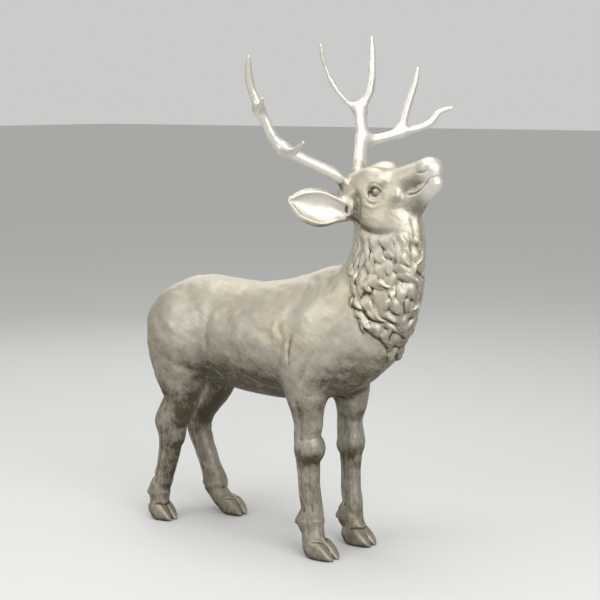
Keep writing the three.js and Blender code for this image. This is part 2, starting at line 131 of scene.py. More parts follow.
def tube(st,L=(0,1,0),m=5,n=2.0):
    """rows x y z lateral front back, or x y z radius; front is tangent x L"""
    st=[tuple(r)+(r[3],)*(6-len(r)) for r in st]
    S=catmull(st,m); S[:,3:6]=np.maximum(S[:,3:6],0.5)
    C=S[:,:3]; T=np.gradient(C,axis=0); T/=np.linalg.norm(T,axis=1)[:,None]+1e-9
    L=np.array(L,float); Lt=L-(T@L)[:,None]*T; Lt/=np.linalg.norm(Lt,axis=1)[:,None]+1e-9
    U=np.cross(T,Lt); R=S[:,3:6].max(1)
    lo=(C-R[:,None]).min(0); hi=(C+R[:,None]).max(0)
    def fn(X,Y,Z):
        X,Y,Z=X.ravel(),Y.ravel(),Z.ravel()
        shp=(len(X),len(Y),len(Z))
        best=np.full(shp,1e12,F); sp=np.zeros(shp,F)
        mg=56.
        for i in range(len(C)-1):
            a=C[i]; d=C[i+1]-a; L2=d@d+1e-9; r=max(R[i],R[i+1])+mg
            l0=np.minimum(a,C[i+1])-r; h0=np.maximum(a,C[i+1])+r
            s=tuple(slice(int(np.searchsorted(A,l0[k])),int(np.searchsorted(A,h0[k]))) for k,A in enumerate((X,Y,Z)))
            if any(q.stop<=q.start for q in s): continue
            q0,q1,q2=X[s[0]][:,None,None]-F(a[0]),Y[s[1]][None,:,None]-F(a[1]),Z[s[2]][None,None,:]-F(a[2])
            t=np.clip((q0*F(d[0])+q1*F(d[1])+q2*F(d[2]))/F(L2),0,1)
            d2=(q0-t*F(d[0]))**2+(q1-t*F(d[1]))**2+(q2-t*F(d[2]))**2
            b=best[s]; w=d2<b
            best[s]=np.where(w,d2,b); sp[s]=np.where(w,F(i)+t,sp[s])
        m_=best<1e11; out=np.full(shp,1e3,F)
        ii=np.nonzero(m_); x,y,z=X[ii[0]],Y[ii[1]],Z[ii[2]]; spv=sp[ii]
        i0=np.minimum(spv.astype(np.int32),len(C)-2); t=spv-i0
        def it(A): A=A.astype(F); return A[i0]*(1-t)+A[i0+1]*t
        q=[x-it(C[:,0]),y-it(C[:,1]),z-it(C[:,2])]
        l=sum(q[j]*it(Lt[:,j]) for j in range(3)); u=sum(q[j]*it(U[:,j]) for j in range(3)); w=sum(q[j]*it(T[:,j]) for j in range(3))
        a=it(S[:,3]); r=np.where(u>0,it(S[:,4]),it(S[:,5]))
        rr=np.sqrt(l*l+u*u+w*w)+F(1e-4)
        rho=np.sqrt((l/a)**2+(u/r)**2) if n==2.0 else (np.abs(l/a)**F(n)+np.abs(u/r)**F(n))**F(1/n)
        rho=np.sqrt(rho*rho+(w/np.minimum(a,r))**2)+F(1e-5)
        out[ii]=rr*(1-1/rho)
        return out
    return fn,lo,hi
def nets(g):
    v=g.v; s=v<0; n=v.shape; c=[slice(0,-1),slice(1,None)]
    cnt=np.zeros([k-1 for k in n],np.int8)
    for i in (0,1):
        for j in (0,1):
            for k in (0,1): cnt+=s[c[i],c[j],c[k]]
    act=(cnt>0)&(cnt<8); idx=np.full(act.shape,-1,np.int32); ii=np.argwhere(act); idx[act]=np.arange(len(ii))
    P=np.zeros((len(ii),3)); W=np.zeros(len(ii)); a,b,d=ii.T
    cor=[(i,j,k) for i in (0,1) for j in (0,1) for k in (0,1)]
    vals={o:v[a+o[0],b+o[1],d+o[2]].astype(float) for o in cor}
    for o in cor:
        for ax in range(3):
            if o[ax]: continue
            p=list(o); p[ax]=1; va,vb=vals[o],vals[tuple(p)]; x=(va<0)!=(vb<0)
            t=va[x]/(va[x]-vb[x]+1e-30); base=np.tile(np.array(o,float),(int(x.sum()),1)); base[:,ax]+=t
            P[x]+=base; W[x]+=1
    P=P/W[:,None]+ii; P=np.stack([np.interp(P[:,k],np.arange(g.n[k]),g.ax[k]) for k in range(3)],1); Q=[]
    for ax in range(3):
        o1,o2=(ax+1)%3,(ax+2)%3; A=[slice(None)]*3; B=[slice(None)]*3; A[ax]=slice(0,-1); B[ax]=slice(1,None)
        sa,sb=s[tuple(A)],s[tuple(B)]; e=np.argwhere(sa!=sb)
        e=e[(e[:,o1]>0)&(e[:,o2]>0)&(e[:,o1]<n[o1]-1)&(e[:,o2]<n[o2]-1)]
        def cell(da,db):
            q=e.copy(); q[:,o1]-=da; q[:,o2]-=db; return idx[q[:,0],q[:,1],q[:,2]]
        quad=np.stack([cell(1,1),cell(0,1),cell(0,0),cell(1,0)],1); flip=~sa[e[:,0],e[:,1],e[:,2]]
        quad[flip]=quad[flip][:,::-1]; Q.append(quad)
    return P,np.concatenate(Q)
def vnormals(P,Q):
    N=np.zeros_like(P); fn=np.cross(P[Q[:,2]]-P[Q[:,0]],P[Q[:,3]]-P[Q[:,1]])
    for k in range(4):
        for ax in range(3): N[:,ax]+=np.bincount(Q[:,k],fn[:,ax],len(P))
    return N/(np.linalg.norm(N,axis=1)[:,None]+1e-12)
def relax(A,Q,times,f=0.5):
    n=len(A); A=A.astype(float).copy(); one=A.ndim==1
    if one: A=A[:,None]
    e=np.concatenate([Q[:,[0,1]],Q[:,[1,2]],Q[:,[2,3]],Q[:,[3,0]]]); deg=np.bincount(e[:,0],minlength=n)+np.bincount(e[:,1],minlength=n)
    for _ in range(times):
        S=np.stack([np.bincount(e[:,0],A[e[:,1],k],n)+np.bincount(e[:,1],A[e[:,0],k],n) for k in range(A.shape[1])],1)
        A+=f*(S/np.maximum(deg,1)[:,None]-A)
    return A[:,0] if one else A
# ============ cheap lattice noise ============
def _h(ix,iy,iz,seed):
    a=(ix*73856093)^(iy*19349663)^(iz*83492791)^(seed*2654435); a=(a^(a>>13))*1274126177; a&=0x7fffffff
    return ((a^(a>>16))&0xffff)/65535.
def noise(P,s,seed=1):
    q=P/np.array(s,float); i=np.floor(q).astype(np.int64); f=q-i; f=f*f*f*(f*(f*6-15)+10); r=0
    for a in (0,1):
        for b in (0,1):
            for c in (0,1):
                w=(f[:,0] if a else 1-f[:,0])*(f[:,1] if b else 1-f[:,1])*(f[:,2] if c else 1-f[:,2])
                r=r+w*_h(i[:,0]+a,i[:,1]+b,i[:,2]+c,seed)
    return r*2-1
def sstep(a,b,x):
    t=np.clip((x-a)/(b-a),0,1); return t*t*(3-2*t)
def rot(rx=0,ry=0,rz=0):
    rx,ry,rz=np.radians([rx,ry,rz]); c,s=np.cos,np.sin
    return np.array([[c(rz),-s(rz),0],[s(rz),c(rz),0],[0,0,1]])@np.array([[c(ry),0,s(ry)],[0,1,0],[-s(ry),0,c(ry)]])@np.array([[1,0,0],[0,c(rx),-s(rx)],[0,s(rx),c(rx)]])
RA=math.radians(ROLL)
def rolled(rows):
    o=[]
    for r in rows:
        y,z=r[1]-ROLL_C[1],r[2]-ROLL_C[2]
        o.append((r[0],ROLL_C[1]+y*math.cos(RA)-z*math.sin(RA),ROLL_C[2]+y*math.sin(RA)+z*math.cos(RA))+tuple(r[3:]))
    return o
HS=(0,math.cos(RA),math.sin(RA))
RH_=rot(ROLL,0,0)
# ============ the stag ============
def body(g):
    g.add(tube(TRUNK,m=6)); g.add(tube(NECK,m=6),70)
    for T,k in ((RF,40),(LF,40),(RH,46),(LH,46)): g.add(tube(T,m=4,n=2.2),k)
    for s,x in ((-1,-40),(1,-10)):     # shoulder blade and upper arm, ribs, stifle
        g.add(ell((x,s*98,716),(72,46,118),rot(0,-14,0)),34)
        g.add(ell((x-62,s*104,640),(52,42,62),rot(0,-20,0)),30)
        g.add(ell((-600,s*104,640),(86,44,92),rot(0,20,0)),34)
    g.add(ell((-36,0,918),(66,48,32),rot(0,-14,0)),34)      # hump at the withers
    g.add(ell((-250,0,660),(170,150,150)),30)
    g.add(tube(TAIL,m=4),14)
    g.blur((-900,-240,420),(320,240,1160),int(round(9*(3./g.h)**2))+1)
def legs(g):
    for hx,hy,ln,w in HOOF:
        for s in (-1,1):
            g.add(tube([(hx+x*ln/61.,hy+s*o*w/53.,z,a*w/53.,t,b) for x,o,z,a,t,b in CLAW],m=3,n=3.0),7)
    for x,y,z,r in DEW:
        g.add(ell((x-4,y,z-7),(r*1.25,r*.72,r*.8),frame_of((-.5,0,-.86),(0,1,0))),7)
    # knees, hocks, tendons
    for (x,y) in ((-66,-98),(-32,90)):
        g.add(ell((x+20,y,358 if y<0 else 348),(28,34,38)),16)
        g.add(ell((x-30,y,345 if y<0 else 335),(20,26,24)),14)
    for y,x,z in ((-88,-742,352),(108,-764,338)):          # point of the hock and the cord above it
        g.add(tube([(x+52,y,z+110,19,20,20),(x+26,y,z+62,18,19,19),(x+6,y,z+22,19,20,20),(x+2,y,z,20,21,21),(x+14,y,z-34,18,20,20),(x+22,y,z-70,14,16,16)],m=3),12)
    for T in (RF,LF):
        low=[r for r in T if 120<r[2]<330]
        for s in (-1,1):                                   # groove between cannon bone and tendon
            g.cut(tube([(r[0]-12,r[1]+s*(r[3]+3),r[2],7,7,7) for r in low],m=3),6,7)
            g.cut(tube([(r[0]+24,r[1]+s*(r[3]-3),r[2],5,5,5) for r in low],m=3),6,4)
        up=[r for r in T if 380<r[2]<560]
        for s in (-1,1):
            g.cut(tube([(r[0]+6-(r[2]-380)*.06,r[1]+s*(r[3]+4),r[2],7,9,9) for r in up],m=3),10,7)
    for T in (RH,LH):
        low=[r for r in T if 120<r[2]<345]
        for s in (-1,1): g.cut(tube([(r[0]-14,r[1]+s*(r[3]+2),r[2],7,7,7) for r in low],m=3),6,6)
        up=[r for r in T if 400<r[2]<480]
        for s in (-1,1): g.cut(tube([(r[0]-26,r[1]+s*(r[3]+2),r[2],10,12,12) for r in up],m=3),14,12)
    for (hx,hy,ln,w),T in zip(HOOF,(RF,LF,RH,LH)):          # groove at the coronet
        f=[r for r in T if 60<r[2]<125]; c=f[len(f)//2]
        g.cut(tube([(hx-42,hy-w,62,4,4,4),(hx-14,hy-w*.9,60,4,4,4),(hx+14,hy-w*.35,57,4,4,4),(hx+18,hy,55,4,4,4),(hx+14,hy+w*.35,57,4,4,4),(hx-14,hy+w*.9,60,4,4,4),(hx-42,hy+w,62,4,4,4)],m=3),4,4)
    sl,(X,Y,Z)=g.box((-950,-500,-100),(500,500,30)); g.v[sl]=np.maximum(g.v[sl],-Z[None,None,:])
def head(g):
    g.add(tube(rolled(HEAD),L=HS,m=5,n=2.2),34)
    g.add(tube(rolled(JAW),L=HS,m=5,n=2.2),9)
    def E(c,r,ry=0,rz=0,k=10): g.add(ell(rolled([c])[0],r,RH_@rot(0,ry,rz)),k)
    def X(c,r,ry=0,rz=0,k=3,depth=None): g.cut(ell(rolled([c])[0],r,RH_@rot(0,ry,rz)),k,depth)
    E((334,0,1282),(42,36,42),0,0,12)                        # nose pad
    E((357,0,1243),(20,26,17),-12,0,7)                       # lower lip
    E((138,37,1270),(50,28,30),-8,8,30); E((136,-37,1264),(50,28,30),-8,-8,30)     # brow domes
    for s in (-1,1):
        E((182,s*51,1250),(28,13,10),-20,s*12,18)            # ridge over the eye
        E((196,s*44,1196),(58,20,34),-24,s*14,24)            # cheek
        E((122,s*63,1184),(44,20,50),-10,0,30)               # jaw muscle
        E((333,s*23,1297),(24,14,16),-20,s*8,10)             # nostril wing
        X((171,s*73,1221),(24,10,18),-12,s*8,16)             # eye socket
        E((169,s*51,1221.5),(20,20,17.5),0,0,3)              # eyeball
        E((58,s*60,1186),(34,22,40),0,0,26)                  # root of the ear
        X((103,s*86,1172),(12,14,40),6,0,24,6)               # hollow behind the jaw muscle
    for s in (-1,1):   # lids
        up=[(143,s*62,1220,3),(150,s*66,1232,3.6),(160,s*69.5,1239.5,4.2),(172,s*70.5,1241.5,4.6),(184,s*68,1236,4.2),(195,s*61,1224,3.2)]
        lo=[(143,s*62,1220,3.6),(150,s*67.5,1207,5),(162,s*70.5,1200.5,5.6),(174,s*70,1201.5,5.4),(186,s*66.5,1209,4.6),(195,s*61,1222,3.4)]
        for r in (up,lo): g.add(tube(rolled(r),m=4),6)
    # ears
    for s in (-1,1):
        rows=[(x,-s*y*1.0 if s>0 else y,z+(18 if s>0 else 0),a,t,b) for x,y,z,a,t,b in EARN]
        side=(.85,s*.5,.1); g.add(tube(rows,L=side,m=4),18)
        bowl=[(x+26,y+s*14.5,z,27,t*.82,b*.82) for x,y,z,a,t,b in rows[1:]]
        bowl=[(bowl[0][0]+10,bowl[0][1]-s*14,bowl[0][2],20,bowl[0][4]*.55,bowl[0][5]*.6)]+bowl[1:]
        g.cut(tube(bowl,L=side,m=4),5)
        g.add(tube([(70,s*72,1188,6),(80,s*76,1172,8),(82,s*78,1152,8.5),(74,s*76,1134,7)],m=4),12)     # rolled edge at the root
def antlers(g):
    for k,rows in ANT.items():
        g.add(tube([(x,y,z,r*1.1+.6) for x,y,z,r in rows],m=3),9 if k in('rb','lb') else 26)
    for k in('rb','lb'):
        b,c=np.array(ANT[k][1]),np.array(ANT[k][2]); d=(c-b)[:3]; d/=np.linalg.norm(d)
        Fm=frame_of(d,(1,0,0))
        for i in range(11):
            w=i*2*math.pi/11; p=b[:3]+d*2+(Fm[:,1]*math.cos(w)+Fm[:,2]*math.sin(w))*(b[3]+.5)
            g.add(ell(p,(7,5.5,4.2),Fm),7)
NX=np.array([(640,50),(700,62),(750,75),(800,86),(860,97),(920,113),(980,145),(1035,165),(1090,172),(1140,168),(1200,160)],float)
def ruff(P,N):
    """height of the carved neck locks, how much each point belongs to the ruff, and its place across and along its lock"""
    z=P[:,2]; xc=np.interp(z,NX[:,0],NX[:,1]); fx=P[:,0]-xc; y=P[:,1]
    phi=np.arctan2(y,fx); ap=np.abs(phi)
    AP=[0,.5,.9,1.3,1.75,2.2,2.6]; LOW=[724,742,778,838,925,985,1030]      # where the lowest locks are rooted
    low=np.interp(ap,AP,LOW); top=np.interp(ap,[0,.6,1.2,2.0],[1104,1088,1082,1094])
    lim=(1-sstep(2.15,2.75,ap))*(np.hypot(fx,y)<330)
    m=sstep(low-70,low-20,z)*(1-sstep(top-52,top+12,z))*lim
    near=sstep(low-110,low-70,z)*(1-sstep(top-52,top+12,z))*lim
    sel=np.nonzero(near>0.002)[0]; u0=phi[sel]*112.; v0=1120-z[sel]; W3=np.stack([u0,v0,np.zeros(len(sel))],1)
    u=u0+7*noise(W3,(60,50,1),61)+2.5*noise(W3,(22,20,1),62); v=v0+6*noise(W3,(46,60,1),63)
    H=np.zeros(len(sel)); A_=np.zeros(len(sel)); T_=np.zeros(len(sel)); K_=np.zeros(len(sel)); rng=np.random.RandomState(5)
    for layer,(dv_,du_,W0,L0,H0) in enumerate(((38.,37.,23.,84.,13.),(33.,29.,12.5,60.,15.))):
        for r in range(int(470/dv_)+1):
            for c in range(-int(310/du_),int(310/du_)+1):
                cu=(c+(.5 if r%2 else 0.))*du_+rng.uniform(-.34,.34)*du_; cv=-40+r*dv_+rng.uniform(-.38,.38)*dv_
                g1,g2,g3,g4,g5,g6=rng.uniform(-1,1,6); pick=rng.rand()
                if abs(cu)>300 or (layer and pick<.38): continue
                zc=1120-cv
                if zc<np.interp(abs(cu)/112.,AP,LOW)-6: continue
                k=.42+.58*min(1,max(0,(cv+10)/190.)); k*=1-.5*min(1,max(0,(abs(cu)-130)/150.))
                edge=min(1,max(0,1-(zc-np.interp(abs(cu)/112.,AP,LOW))/90.))       # curlier along the lower edge
                Ln=L0*(1+.2*g1)*(.66+.42*k)*(1-.28*edge); W=W0*(1+.24*g2)*(.72+.34*k)*(1-.16*edge); Hh=H0*(1+.24*g3)*k
                sg=-np.sign(cu) if abs(cu)>14 else .3*np.sign(g4)
                an=sg*(.40+.34*g4)*min(1,abs(cu)/70.+.25); bend=.9*g5+sg*.45+np.sign(g6)*.7*edge
                du,dv=u-cu,v-cv
                p=dv*math.cos(an)+du*math.sin(an); q=du*math.cos(an)-dv*math.sin(an)
                t=p/Ln; ok=(t>0)&(t<1)&(np.abs(q)<W*3.4)
                if not ok.any(): continue
                t_=t[ok]; q_=q[ok]-bend*W*1.5*(t_**2.4-t_*.3)
                w=W*np.minimum(1,(t_/.32)**.7)*np.maximum(0,1-t_**2.1)**.75+1e-3
                a=q_/w; ins=np.abs(a)<1; dome=np.maximum(0,1-a*a)**.72
                st=.5+.5*np.cos(a*(6.2 if layer==0 else 4.4)+2.2*t_+g1*3)
                h=Hh*(.12+.88*sstep(0,.5,t_))*(1-.45*sstep(.80,1.,t_))*dome*(.80+.20*st)*ins
                w_=h>H[ok]; H[ok]=np.where(w_,h,H[ok])
                for D_,v_ in ((A_,a),(T_,t_),(K_,np.full(len(a),.5+.5*g6))): D_[ok]=np.where(w_,v_,D_[ok])
    rootm=np.clip((H/6.),0,1)
    out=np.zeros(len(P)); out[sel]=(H-6.*m[sel])*np.maximum(m[sel],near[sel])
    lk=np.zeros((len(P),3)); lk[:,0]=.5; lk[sel,0]=A_*.5+.5; lk[sel,1]=T_; lk[sel,2]=K_
    m2=m.copy(); m2[sel]=np.maximum(m[sel],near[sel]*rootm)
    return out,m2,phi,lk
def line(P,N,d,rows,plane=(0,2),side=0,roll=False,lim=None):
    """rows a b depth width on a side view: raises (+) or sinks (-) the surface along the line"""
    C=catmull(rows,5); A=unroll(P) if roll else P
    w=np.abs(C[:,3]).max()*2.6; a,b=A[:,plane[0]],A[:,plane[1]]
    ok=(a>C[:,0].min()-w)&(a<C[:,0].max()+w)&(b>C[:,1].min()-w)&(b<C[:,1].max()+w)
    if side: ok&=(A[:,1]*side>0)
    if lim is not None: ok&=lim(A)
    s=np.nonzero(ok)[0]; a,b=a[s],b[s]; best=np.full(len(s),1e9); dep=np.zeros(len(s)); wid=np.ones(len(s))
    for i in range(len(C)-1):
        p,q=C[i],C[i+1]; e=q[:2]-p[:2]; t=np.clip(((a-p[0])*e[0]+(b-p[1])*e[1])/(e@e+1e-9),0,1)
        r=np.hypot(a-p[0]-t*e[0],b-p[1]-t*e[1]); c=r<best
        best[c]=r[c]; dep[c]=(p[2]+t*(q[2]-p[2]))[c]; wid[c]=(p[3]+t*(q[3]-p[3]))[c]
    d[s]+=dep*np.exp(-(best/np.maximum(wid,.5))**2)
def unroll(P):
    c,s_=math.cos(RA),math.sin(RA); y,z=P[:,1]-ROLL_C[1],P[:,2]-ROLL_C[2]
    return np.stack([P[:,0],ROLL_C[1]+y*c+z*s_,ROLL_C[2]-y*s_+z*c],1)
def features(P,N):
    """carved lines of the face, body and limbs"""
    d=np.zeros(len(P))
    fr=lambda A:(A[:,2]>1120)&(np.abs(A[:,1])<100)
    # mouth, lip edge, nostril
    m=[(271,1213,-1.5,3),(280,1213,-4,3.2),(297,1217,-4.5,2.8),(311,1226,-4.5,2.6),(323,1237,-4.5,2.6),(333,1248,-4.5,2.6),(344,1258,-4.5,2.6),(356,1264,-5,2.6),(372,1266,-5,2.6),(400,1266,-5,2.6)]
    line(P,N,d,m,roll=True,lim=fr)
    line(P,N,d,[(x,z+6.5,1.1,4) for x,z,_,_ in m],roll=True,lim=fr); line(P,N,d,[(x+2,z-7,1.2,4.5) for x,z,_,_ in m[1:]],roll=True,lim=fr)
    for s in (-1,1):
        line(P,N,d,[(308,1279,-1,2.6),(316,1281,-4,3),(326,1283,-6.5,3.6),(336,1286,-7,3.8),(344,1291,-5,3.2),(347,1299,-2,2.6)],side=s,roll=True,lim=fr)
        line(P,N,d,[(308,1291,1,5),(322,1295,2.6,5),(333,1301,2.6,5),(340,1308,1.2,5)],side=s,roll=True,lim=fr)
        # lids and the creases about the eye
        line(P,N,d,[(146,1224,-1,2.6),(149,1212,-2.2,2.6),(157,1203.5,-2.6,2.6),(168,1200,-2.4,2.4),(180,1204,-2.4,2.2),(190,1213,-1.2,2.2)],side=s,roll=True,lim=fr)
        line(P,N,d,[(152,1235,-1.4,2.2),(161,1241,-1.6,2.2),(173,1241,-1.4,2.2),(186,1234,-1,2.2)],side=s,roll=True,lim=fr)
        line(P,N,d,[(140,1206,-.4,4),(145,1198,-1.6,4.5),(154,1190,-2.8,5),(168,1187,-2.8,5),(182,1191,-2.2,4.5),(194,1200,-.8,4)],side=s,roll=True,lim=fr)
        line(P,N,d,[(138,1190,.4,6),(146,1183,1.4,6),(158,1177,2.4,6),(174,1176,2.2,6),(190,1184,.8,6)],side=s,roll=True,lim=fr)
        line(P,N,d,[(134,1238,.8,7),(150,1251,2.0,7),(168,1256,2.6,8),(186,1250,3.0,8),(198,1240,1.6,7)],side=s,roll=True,lim=fr)
        line(P,N,d,[(196,1236,-.6,5),(214,1228,-1.6,6),(236,1222,-1.0,6)],side=s,roll=True,lim=fr)    # gland hollow before the eye
        # body: behind the elbow, flank fold, groin
        line(P,N,d,[(-128,806,-.5,9),(-142,780,-1.2,9),(-153,755,-2.2,8),(-137,730,-2.4,8),(-136,704,-2.2,8),(-140,680,-1.6,9),(-146,640,-2,8)] if s<0 else [(x+20,z,a,b) for x,z,a,b in [(-128,806,-.5,9),(-150,765,-4,7),(-138,720,-4,7),(-144,650,-2,8)]],side=s)
        line(P,N,d,[(-168,790,.5,12),(-176,760,2.6,12),(-168,725,2.4,12),(-166,690,1,12)],side=s)
        line(P,N,d,[(-103,740,-2,7),(-106,710,-4,7),(-108,680,-4,7),(-106,645,-3,8)],side=s)
        line(P,N,d,[(-462,800,-.5,20),(-474,745,-3.5,17),(-478,700,-5,16),(-476,655,-4,16),(-486,610,-1,18)],side=s)
        line(P,N,d,[(-380,700,.8,22),(-330,703,3.2,24),(-275,704,3.4,24),(-220,706,2.8,22),(-180,712,.8,20)],side=s)
        line(P,N,d,[(-700,640,-.5,16),(-640,606,-2.5,14),(-580,580,-4,13),(-520,570,-4,13),(-470,580,-1,14)],side=s)
        line(P,N,d,[(-720,790,-.5,18),(-700,740,-3,18),(-660,700,-3.5,18),(-610,680,-1,18)],side=s)
        line(P,N,d,[(-10,690,-1,12),(-40,640,-3,10),(-60,600,-3,10),(-72,560,-1,9)],side=s)
        line(P,N,d,[(60,740,-.5,16),(30,690,-2.5,14),(18,650,-2.5,12),(12,620,-.5,12)],side=s)
    e=np.zeros(len(P))
    for s in (-1,1):     # fold between head and neck
        line(P,N,e,[(34,1176,-2,9),(50,1160,-6,10),(66,1143,-9,11),(86,1124,-10,11),(112,1110,-10,11),(145,1101,-10,11),(186,1096,-9,11),(216,1096,-6,11),(240,1099,-2,11)],side=s,roll=True,lim=lambda A:A[:,2]>1040)
    tm=sstep(1040,1070,P[:,2])*(P[:,0]>150)
    for y0,dd in ((-30,-3.),(-12,2.2),(4,-2.6),(22,2.0),(38,-3.)):     # throat cords
        e+=tm*dd*np.exp(-((P[:,1]-y0)/6.)**2)*sstep(1150,1118,P[:,2])*(np.abs(P[:,1])<70)*sstep(180,215,P[:,0])
    return d,e
def detail(P,Q):
    """fine modelling of the surface: returns moved points and the part masks that steer the patina, the fur texture
    and the painted highlight
    """
    N=vnormals(P,Q)
    rf,rm,phi,lk=ruff(P,N)
    rf=relax(rf,Q,1,.35)
    x,y,z=P.T; ay=np.abs(y)
    hl=P-np.array(ROLL_C)
    headm=sstep(1095,1135,z)*(x>-90); antm=np.maximum(sstep(1318,1335,z),headm*sstep(88,96,ay)*(z>1240))
    earm=headm*(ay>84)*(z<1250)*(x<85)
    hoofm=1-sstep(48,62,z); legm=1-sstep(430,560,z)
    bodym=(1-headm)*(1-legm)*(1-rm)
    R=rot(0,-24,0); B=P@R        # body strokes run back and down
    n1=noise(B,(46,15,15),3); n2=noise(B,(24,8.5,8.5),7); big=noise(P,(62,62,62),11); mid=noise(P,(30,26,24),17)
    d=bodym*(1.3*big+1.2*mid+.45*n1+.2*n2)
    L=P@rot(0,0,0); l1=noise(L,(11,11,46),23); l2=noise(L,(7.5,7.5,26),29)
    d+=legm*(1-hoofm)*(.5*l1+.35*l2+.5*mid)
    Hd=P@rot(0,28,0); h1=noise(Hd,(24,9,9),31); h2=noise(Hd,(13,7,7),37)
    fur=headm*(1-antm)*(1-earm)*sstep(330,290,x)
    d+=fur*(.55*h1+.4*h2)*(.5+.8*sstep(1215,1150,z))
    d+=antm*(.35*noise(P,(9,9,40),41))+earm*.3*h2
    nk=(1-rm)*sstep(820,900,z)*(1-headm)      # shorter hair on the nape
    d+=nk*(.8*noise(P@rot(0,15,0),(13,13,40),43))
    fd,fe=features(P,N); d+=rf*(1-.7*np.clip(-fe/6,0,1))+fd*(1-.9*rm)+fe
    P2=P+N*d[:,None]; lowz=P[:,2]<1.5; P2[lowz,2]=P[lowz,2]
    return P2,dict(lock=lk,ruff=rm,head=headm,ant=antm,leg=legm,hoof=hoofm,ear=earm)
def cavity(P,Q):
    N=vnormals(P,Q); c=[]
    for t in (2,8,26):
        S=relax(P,Q,t,.6); c.append(((S-P)*N).sum(1))
    return N,c
def stag(h,f=None):
    f=f or h        # spacing over the head and neck
    ax=[axis([(-880,h),(-70,f),(392,h),(420,0)]),axis([(-405,h),(-100,(h+2*f)/3),(100,h),(485,0)]),axis([(-24,h),(700,(h+f)/2),(1085,f),(1345,h),(1740,0)])]
    g=Grid(None,None,h,ax)
    body(g); legs(g); head(g); antlers(g)
    P,Q=nets(g); return P,Q
# ============ into the frame, metres ============
ORIGIN=np.array((235.2,-49.,0.))
H_MM=3.5; F_MM=2.3      # grid spacing, body and head
g_P,g_Q=stag(H_MM,F_MM)
g_P,parts=detail(g_P,g_Q)
g_N,cav=cavity(g_P,g_Q)
def tone_of(c,s): return np.clip(.5+c/(2*s),0,1)
fine=relax(tone_of(cav[0],1.1),g_Q,1); mid_=relax(tone_of(cav[1],2.6),g_Q,2); wide=relax(tone_of(cav[2],6.5),g_Q,3)
M_P=(g_P+ORIGIN)/1000.
me=bpy.data.meshes.new("deer_casting_full"); me.vertices.add(len(M_P)); me.vertices.foreach_set("co",M_P.astype(np.float32).ravel())
nq=len(g_Q); me.loops.add(nq*4); me.loops.foreach_set("vertex_index",g_Q.astype(np.int32).ravel())
me.polygons.add(nq); me.polygons.foreach_set("loop_start",np.arange(0,nq*4,4,dtype=np.int32)); me.polygons.foreach_set("loop_total",np.full(nq,4,np.int32))
me.update(calc_edges=True); me.validate()
full=bpy.data.objects.new("deer_full",me); bpy.context.scene.collection.objects.link(full)
dec=full.modifiers.new("thin","DECIMATE"); dec.ratio=min(1.,192000./(2.*nq)); dec.use_collapse_triangulate=True
dg=bpy.context.evaluated_depsgraph_get(); out=bpy.data.meshes.new_from_object(full.evaluated_get(dg),depsgraph=dg); out.name="deer_casting"
bpy.data.objects.remove(full); bpy.data.meshes.remove(me)
n=len(out.vertices); V=np.zeros(n*3,np.float32); out.vertices.foreach_get("co",V); V=V.reshape(-1,3)
V[V[:,2]<.0006,2]=0.; out.vertices.foreach_set("co",V.ravel())
# values of the full mesh carried over by the nearest point
from mathutils.kdtree import KDTree
kd=KDTree(len(M_P))
for i,p in enumerate(M_P.tolist()): kd.insert(p,i)
kd.balance(); near=np.array([kd.find(p)[1] for p in V.tolist()])
def attr(name,r,g,b):
    a=out.attributes.new(name,"FLOAT_COLOR","POINT"); c=np.ones((n,4),np.float32)
    for k,v in enumerate((r,g,b)): c[:,k]=v[near]
    a.data.foreach_set("color",c.ravel())
attr("tone",fine,mid_,wide)
soft_n=relax(g_N,g_Q,14,.6); soft_n/=np.linalg.norm(soft_n,axis=1)[:,None]+1e-9
attr("aim",*(soft_n.T*.5+.5))
# painted highlight: the antlers, the front of the muzzle and the ear bowls are marked to be coloured lighter
painted_highlight=np.clip(np.maximum(parts["ant"],sstep(300,350,g_P[:,0])*parts["head"]),0,1)
x_,y_,z_=g_P.T
low=1-sstep(330,900,z_+.12*(x_+400))                     # darker patina and painted shade towards the legs and hindquarters
# part colour attribute: R legs, G painted highlight, B darker patina and painted shade low down
attr("part",np.clip(parts["leg"],0,1),np.clip(np.maximum(painted_highlight,.6*parts["ear"]),0,1),low)
attr("zone",np.clip(parts["ruff"],0,1),np.clip(parts["head"],0,1),np.clip(parts["hoof"],0,1))
out.polygons.foreach_set("use_smooth",np.ones(len(out.polygons),bool))
deer=bpy.data.objects.new("deer_casting",out); bpy.context.scene.collection.objects.link(deer)
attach(deer,"root"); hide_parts("deer")
print("triangles",len(out.polygons))
# ============ silvered bronze with its dark patina, painted shade and painted highlights ===
mat=bpy.data.materials.new("silvered_bronze"); mat.use_nodes=True; nt=mat.node_tree; nt.nodes.clear()
def N(kind,**kw):
    o=nt.nodes.new(kind)
    for k,v in kw.items(): setattr(o,k,v)
    return o
def L(a,b): nt.links.new(a,b)
def math_(op,a,b=None,clamp=False):
    o=N("ShaderNodeMath",operation=op,use_clamp=clamp)
    for i,v in enumerate((a,b)):
        if v is None: continue
        if isinstance(v,(int,float)): o.inputs[i].default_value=v
        else: L(v,o.inputs[i])
    return o.outputs[0]
def ramp(v,a,b,lo=0.,hi=1.):
    o=N("ShaderNodeMapRange",interpolation_type="SMOOTHSTEP"); L(v,o.inputs[0])
    for i,q in zip((1,2,3,4),(a,b,lo,hi)): o.inputs[i].default_value=q
    return o.outputs[0]
def mixc(f,a,b,blend="MIX"):
    o=N("ShaderNodeMix",data_type="RGBA",blend_type=blend); 
    for s_,v in ((o.inputs[0],f),(o.inputs[6],a),(o.inputs[7],b)):
        if isinstance(v,tuple): s_.default_value=v+(1.,)
        elif isinstance(v,(int,float)): s_.default_value=v
        else: L(v,s_)
    return o.outputs[2]
def attrib(name):
    o=N("ShaderNodeAttribute",attribute_name=name); s_=N("ShaderNodeSeparateColor"); L(o.outputs["Color"],s_.inputs[0]); return s_.outputs
aim=attrib("aim"); tone=attrib("tone"); part=attrib("part"); zone=attrib("zone")
tc=N("ShaderNodeTexCoord").outputs["Object"]
